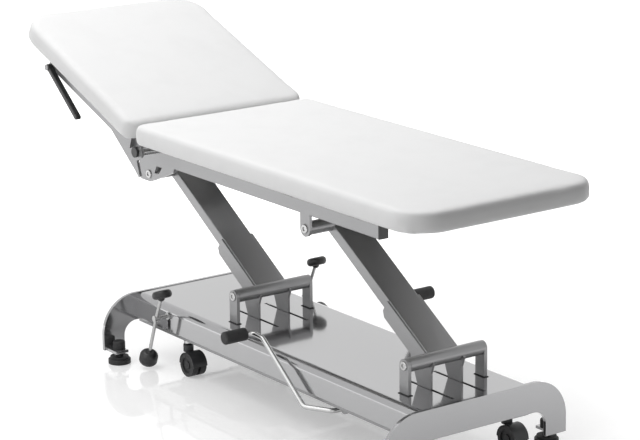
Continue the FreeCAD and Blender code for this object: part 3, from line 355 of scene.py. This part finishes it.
MATERIALS = {
    "upholstery": leatherette("upholstery", (0.89, 0.89, 0.89)),
    "silver_paint": powder_coat("silver_paint", (0.385, 0.385, 0.392),
                                metallic=0.80, rough=0.10, coat=1.0),
    "frame_paint": powder_coat("frame_paint", (0.30, 0.30, 0.305),
                               metallic=0.62, rough=0.38, coat=0.5),
    "steel": plated_steel("steel", (0.48, 0.48, 0.48), rough=0.18),
    "chrome_rod": plated_steel("chrome_rod", (0.72, 0.72, 0.73), rough=0.14, drawn_along=0),
    "black_rubber": moulded_plastic("black_rubber", (0.022, 0.022, 0.023),
                                    rough=0.62, grain=900.0, depth=0.0002),
    "black_plastic": moulded_plastic("black_plastic", (0.020, 0.020, 0.021), rough=0.38),
    "grey_plastic": moulded_plastic("grey_plastic", (0.040, 0.041, 0.043), rough=0.42),
    "tyre": moulded_plastic("tyre", (0.030, 0.030, 0.031), rough=0.55, grain=700.0, depth=0.0002),
    "board": plywood("board", (0.66, 0.65, 0.63)),
}


def dress(obj, slot):
    obj.data.materials.clear()
    obj.data.materials.append(MATERIALS[slot])


for name, node in frame["nodes"].items():
    node.data.materials.clear()
    node.data.materials.append(MATERIALS[slot_of[name]])


# Shape of the pads

def rounded_loop(x0, x1, half, r0, r1, counts):
    """A rectangle with round corners, of r0 at its low X end and r1 at its high X end."""
    corners = ((x1 - r1, -half + r1, r1, -90), (x1 - r1, half - r1, r1, 0),
               (x0 + r0, half - r0, r0, 90), (x0 + r0, -half + r0, r0, 180))
    arcs = []
    for cx, cy, r, start in corners:
        turns = [math.radians(start + 90 * i / CORNER_STEPS) for i in range(CORNER_STEPS + 1)]
        arcs.append([(cx + r * math.cos(a), cy + r * math.sin(a)) for a in turns])
    points = []
    for arc, after, count in zip(arcs, arcs[1:] + arcs[:1], counts):
        a, b = arc[-1], after[0]
        points += arc
        points += [(a[0] + (b[0] - a[0]) * k / count, a[1] + (b[1] - a[1]) * k / count)
                   for k in range(1, count)]
    return points


def draw_in(points, x0, x1, half, pull):
    """Move each side inward a little between the corners, most at its middle."""
    mid, reach = (x0 + x1) / 2, (x1 - x0) / 2
    end_zone, side_zone = reach * 0.97, half * 0.9
    drawn = []
    for x, y in points:
        along_x = max(0.0, 1 - ((x - mid) / reach) ** 2)
        across = max(0.0, 1 - (y / half) ** 2)
        at_end = abs(x - mid) > end_zone
        at_side = abs(y) > side_zone
        drawn.append((x - math.copysign(pull * across, x - mid) * at_end,
                      y - math.copysign(pull * along_x, y) * at_side))
    return drawn


def pad_loop(x0, x1, r0, r1, inset, pull):
    """One ring of a pad's outline, inset from it."""
    counts = (int(2 * PAD_HALF / LOOP_STEP), int((x1 - x0) / LOOP_STEP)) * 2
    x0, x1, half = x0 + inset, x1 - inset, PAD_HALF - inset
    r0, r1 = max(r0 - inset, LEAST_CORNER), max(r1 - inset, LEAST_CORNER)
    return draw_in(rounded_loop(x0, x1, half, r0, r1, counts), x0, x1, half, pull)


def quarter_turn(steps):
    return [math.pi / 2 * i / steps for i in range(steps + 1)]


def pad_profile():
    """A pad's section from its lower rim to its crown, each point as inset and height."""
    rim_centre = PAD_THICK - RIM_DROP - TOP_ROUND
    low_rim = [(LOW_ROUND - LOW_ROUND * math.sin(a), LOW_ROUND - LOW_ROUND * math.cos(a))
               for a in quarter_turn(LOW_RIM_STEPS)]
    top_rim = [(TOP_ROUND - TOP_ROUND * math.cos(a), rim_centre + TOP_ROUND * math.sin(a))
               for a in quarter_turn(TOP_RIM_STEPS)]
    crown = [(inset, PAD_THICK + rise) for inset, rise in CROWN]
    return [*low_rim, *SIDE_BULGE, *top_rim, *crown]


def pad_mesh(name, x0, x1, r0, r1, board, z0):
    """A closed pad with rounded rim, crowned top and a recess below for its board."""
    bx0, bx1, by = board
    under = pad_loop(x0, x1, r0, r1, LOW_ROUND, 0.0)
    rings = [[(min(max(x, bx0), bx1), min(max(y, -by), by), z0 + z) for x, y in under]
             for z in (BOARD_THICK + BOARD_PLAY, 0.0)]
    for inset, z in pad_profile():
        loop = pad_loop(x0, x1, r0, r1, inset + COVER_SLACK, SIDE_PULL)
        rings.append([(x, y, z0 + z) for x, y in loop])
    bm = bmesh.new()
    loops = [[bm.verts.new(p) for p in ring] for ring in rings]
    for low, high in zip(loops, loops[1:]):
        bridge(bm, low, high)
    bm.faces.new(list(reversed(loops[0])))
    bm.faces.new(loops[-1])
    bmesh.ops.remove_doubles(bm, verts=bm.verts, dist=MERGE_DISTANCE)
    return mesh_object(name, bm)


# Padding of the pads

def apply_modifiers(obj):
    bpy.context.view_layer.update()
    evaluated = obj.evaluated_get(bpy.context.evaluated_depsgraph_get())
    result = bpy.data.meshes.new_from_object(evaluated)
    obj.modifiers.clear()
    obj.data = result


def swollen_points(obj):
    """Where the cover's points come to under a light pressure from inside."""
    cloth = obj.modifiers.new("cloth", "CLOTH")
    cloth.settings.use_pressure = True
    cloth.settings.uniform_pressure_force = PRESSURE
    cloth.settings.effector_weights.gravity = 0.0
    for frame_number in range(1, CLOTH_FRAMES + 1):
        bpy.context.scene.frame_set(frame_number)
    bpy.context.view_layer.update()
    swollen = obj.evaluated_get(bpy.context.evaluated_depsgraph_get()).data
    points = [v.co.copy() for v in swollen.vertices]
    obj.modifiers.clear()
    return points


def held_step(point, step, z0, board):
    """A point's step, capped, with none over the board and none down from the lower rim."""
    if step.length > SWELL_CAP:
        step = step.normalized() * SWELL_CAP
    bx0, bx1, by = board
    over_board = (bx0 - BOARD_MARGIN < point.x < bx1 + BOARD_MARGIN
                  and abs(point.y) < by + BOARD_MARGIN)
    if (point.z - z0) < UNDERSIDE:
        if over_board:
            return Vector((0, 0, 0))
        step.z = max(step.z, 0.0)
    return step


def swell(obj, z0, board):
    """Let the cover swell a little, and keep the board's recess as it is."""
    rest = [v.co.copy() for v in obj.data.vertices]
    moved = swollen_points(obj)
    for vertex, a, b in zip(obj.data.vertices, rest, moved):
        vertex.co = a + held_step(a, b - a, z0, board)
    bpy.context.scene.frame_set(1)


def soften(obj):
    """Smooth away the voxels' steps and subdivide once."""
    smooth = obj.modifiers.new("smooth", "SMOOTH")
    smooth.factor = 0.5
    smooth.iterations = 3
    subdivide = obj.modifiers.new("subdivide", "SUBSURF")
    subdivide.levels = 1
    subdivide.render_levels = 1
    apply_modifiers(obj)
    for polygon in obj.data.polygons:
        polygon.use_smooth = True


def puff(obj, z0, board):
    """Turn the drawn shape into a stuffed pad."""
    remesh = obj.modifiers.new("remesh", "REMESH")
    remesh.mode = "VOXEL"
    remesh.voxel_size = VOXEL
    apply_modifiers(obj)
    swell(obj, z0, board)
    soften(obj)


def make_main_pad():
    low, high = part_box("main_pad")
    board_low, board_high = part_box("main_board")
    board = (board_low.x - BOARD_PLAY, board_high.x + BOARD_PLAY, board_high.y + BOARD_PLAY)
    pad = pad_mesh("main_cushion", low.x, high.x, HINGE_CORNER, OUTER_CORNER, board, low.z)
    puff(pad, low.z, board)
    dress(pad, "upholstery")
    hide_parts("main_pad")
    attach(pad, "top")


def make_back_pad():
    """Built flat in the backrest's own frame, then turned up about the hinge.
    """
    hinge = Vector(joints["backrest"]["pos_m"])
    z0, start = HINGE_TO_PAD, -HINGE_GAP
    head = start - BACK_LENGTH
    board = (head + 2 * BOARD_INSET - BOARD_PLAY, start - BOARD_INSET + BOARD_PLAY,
             PAD_HALF - BOARD_INSET + BOARD_PLAY)
    pad = pad_mesh("back_cushion", head, start, OUTER_CORNER, HINGE_CORNER, board, z0)
    puff(pad, z0, board)
    turn = Matrix.Translation(hinge) @ Matrix.Rotation(BACK_ANGLE, 4, "Y")
    pad.data.transform(turn)
    dress(pad, "upholstery")
    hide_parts("back_pad", "back_pad_edge")
    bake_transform(pad)


# Small fittings

def new_piece(name, bm, slot, body):
    obj = mesh_object(name, bm)
    dress(obj, slot)
    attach(obj, body)
    return obj


def add_box(bm, low, high):
    rect = ((low[0], low[1]), (high[0], low[1]), (high[0], high[1]), (low[0], high[1]))
    v = [bm.verts.new((x, y, z)) for z in (low[2], high[2]) for x, y in rect]
    sides = ((0, 3, 2, 1), (4, 5, 6, 7), (0, 1, 5, 4), (1, 2, 6, 5), (2, 3, 7, 6), (3, 0, 4, 7))
    for side in sides:
        bm.faces.new([v[i] for i in side])


def slot_shade_liners():
    """Black strips below the cover's sheet along each slot of the crank plates, painted shade for the
    dark inside of the slots.
    """
    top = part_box("base_cover")[1].z - SLOT_SHADE_DROP
    bm = bmesh.new()
    # Each strip is painted shade: a black wall standing in for the dark inside of a slot.
    for joint in ("lift", "lift_foot_arm"):
        x = joints[joint]["pos_m"][0]
        x0, x1 = x - SLOT_HALF_LENGTH, x + SLOT_HALF_LENGTH
        for side in (-1, 1):
            for edge in SLOT_EDGES:
                y0, y1 = (side * SLOT_MID_Y + edge + wall for wall in SLOT_SHADE_SIDES)
                add_box(bm, (x0, y0, top - SLOT_SHADE_HEIGHT), (x1, y1, top))
    new_piece("slot_shade_liners", bm, "black_rubber", "base")


def circle(x, y, z, radius, steps):
    turns = [2 * math.pi * i / steps for i in range(steps)]
    return [(x + radius * math.cos(a), y + radius * math.sin(a), z) for a in turns]


def castor_collar(place, joint, body):
    """The bright sleeve of a castor's swivel, between its boss and the frame."""
    x, y = joints[joint]["pos_m"][:2]
    z0, z1 = COLLAR_HEIGHTS
    inner, outer = COLLAR_RADII
    bm = bmesh.new()
    section = ((inner, z0), (outer, z0), (outer, z1), (inner, z1))
    closed_band(bm, [circle(x, y, z, radius, COLLAR_STEPS) for radius, z in section])
    collar = new_piece("castor_collar_" + place, bm, "steel", body)
    for polygon in collar.data.polygons:
        polygon.use_smooth = abs(polygon.normal.z) < 0.5


def stand_seals():
    """Low rubber lips where the stand plates pass through the cover, flared onto the sheet."""
    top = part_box("base_cover")[1].z
    bm = bmesh.new()
    for name in ("stand_head_near", "stand_head_far", "stand_foot_near", "stand_foot_far"):
        low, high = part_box(name)
        rings = []
        for out, rise in LIP_PROFILE:
            x0, x1, y0, y1 = low.x - out, high.x + out, low.y - out, high.y + out
            z = top + rise
            rings.append([(x0, y0, z), (x1, y0, z), (x1, y1, z), (x0, y1, z)])
        closed_band(bm, rings)
    seals = new_piece("stand_seals", bm, "black_rubber", "base")
    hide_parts("stand_gaskets")


# Studio

def make_floor():
    """A pale glossy floor that glows white away from the table and keeps its shadow."""
    mesh = bpy.data.meshes.new("floor")
    half = FLOOR_HALF
    corners = [(-half, -half, 0), (half, -half, 0), (half, half, 0), (-half, half, 0)]
    mesh.from_pydata(corners, [], [(0, 1, 2, 3)])
    floor = new_object("floor", mesh)
    floor.location.z = -FLOOR_DROP
    mat, tree, shader = new_material("floor")
    set_inputs(shader, {
        "Base Color": (0.93, 0.93, 0.93, 1), "Roughness": 0.04,
        "Specular IOR Level": 0.9, "Emission Color": (1, 1, 1, 1)})
    reach = add_node(tree, "ShaderNodeVectorMath", operation="LENGTH")
    feed(tree, reach.inputs[0], object_coords(tree))
    glow = remap(tree, reach.outputs["Value"], low=0.36, high=1.0, from_low=0.8, from_high=2.4)
    seen = seen_directly(tree)
    feed(tree, shader.inputs["Emission Strength"], math_node(tree, "MULTIPLY", glow, seen))
    floor.data.materials.append(mat)


def soft_surround(tree):
    """The light around the object, paler above and dimmed toward the foot end."""
    split = add_node(tree, "ShaderNodeSeparateXYZ")
    coords = add_node(tree, "ShaderNodeTexCoord")
    feed(tree, split.inputs["Vector"], coords.outputs["Generated"])
    ramp = add_node(tree, "ShaderNodeValToRGB")
    stops = ((0.0, 0.45), (0.55, 0.95))
    for element, (position, grey) in zip(ramp.color_ramp.elements, stops):
        element.position = position
        element.color = (grey, grey, grey, 1)
    feed(tree, ramp.inputs["Fac"], split.outputs["Z"])
    foot_dim = remap(tree, split.outputs["X"], low=1.25, high=0.05, from_low=-0.4, from_high=0.5)
    light = blend_colors(tree, 1.0, ramp.outputs["Color"], foot_dim, "MULTIPLY")
    soft = add_node(tree, "ShaderNodeBackground", {"Strength": 0.42})
    feed(tree, soft.inputs["Color"], light)
    return soft.outputs["Background"]


def make_world():
    """Soft light on the object, and plain white behind it and in its reflections."""
    world = bpy.data.worlds.new("studio")
    bpy.context.scene.world = world
    world.use_nodes = True
    tree = world.node_tree
    tree.nodes.clear()
    white = add_node(tree, "ShaderNodeBackground", {"Strength": 1.0, "Color": (1, 1, 1, 1)})
    mix = add_node(tree, "ShaderNodeMixShader")
    feed(tree, mix.inputs["Fac"], seen_directly(tree))
    feed(tree, mix.inputs[1], soft_surround(tree))
    feed(tree, mix.inputs[2], white.outputs["Background"])
    output = add_node(tree, "ShaderNodeOutputWorld")
    feed(tree, output.inputs["Surface"], mix.outputs["Shader"])


def add_light(name, location, target, size, power):
    light = bpy.data.lights.new(name, "AREA")
    light.shape = "RECTANGLE"
    light.size, light.size_y = size
    light.energy = power
    obj = new_object(name, light)
    obj.location = location
    aim = Vector(target) - Vector(location)
    obj.rotation_euler = aim.to_track_quat("-Z", "Y").to_euler()


def make_lights():
    add_light("overhead", (-0.8, -0.3, 3.4), target=(0, 0, 0.6), size=(4.2, 3.0), power=84)
    add_light("near_side", (0.4, -4.2, 2.3), target=(0, 0, 0.4), size=(3.4, 2.2), power=37)
    add_light("foot_end", (4.6, 0.6, 2.2), target=(0.2, 0, 0.4), size=(2.2, 2.4), power=3)


def make_camera():
    """The camera that was fitted to the photograph."""
    location = Vector((5.4015, -3.7853, 2.2431))
    yaw, pitch, roll = (math.radians(a) for a in (144.21, -14.89, -0.61))
    focal_px, width_px = 2435.9, 640
    level = math.cos(pitch)
    ahead = Vector((level * math.cos(yaw), level * math.sin(yaw), math.sin(pitch)))
    right = ahead.cross(Vector((0, 0, 1))).normalized()
    up = right.cross(ahead)
    right, up = (right * math.cos(roll) + up * math.sin(roll),
                 up * math.cos(roll) - right * math.sin(roll))
    turn = Matrix((right, up, -ahead)).transposed()
    data = bpy.data.cameras.new("camera")
    data.sensor_width = 36.0
    data.lens = focal_px / width_px * data.sensor_width
    camera = new_object("camera", data)
    camera.matrix_world = Matrix.Translation(location) @ turn.to_4x4()
    bpy.context.scene.camera = camera


make_main_pad()
make_back_pad()
slot_shade_liners()
for end in ("head", "foot"):
    for side in ("near", "far"):
        place = "%s_%s" % (end, side)
        castor_collar(place, "swivel_" + place, "castor_" + place)
stand_seals()

make_floor()
make_world()
make_lights()
make_camera()
bpy.context.scene.view_settings.view_transform = "Standard"
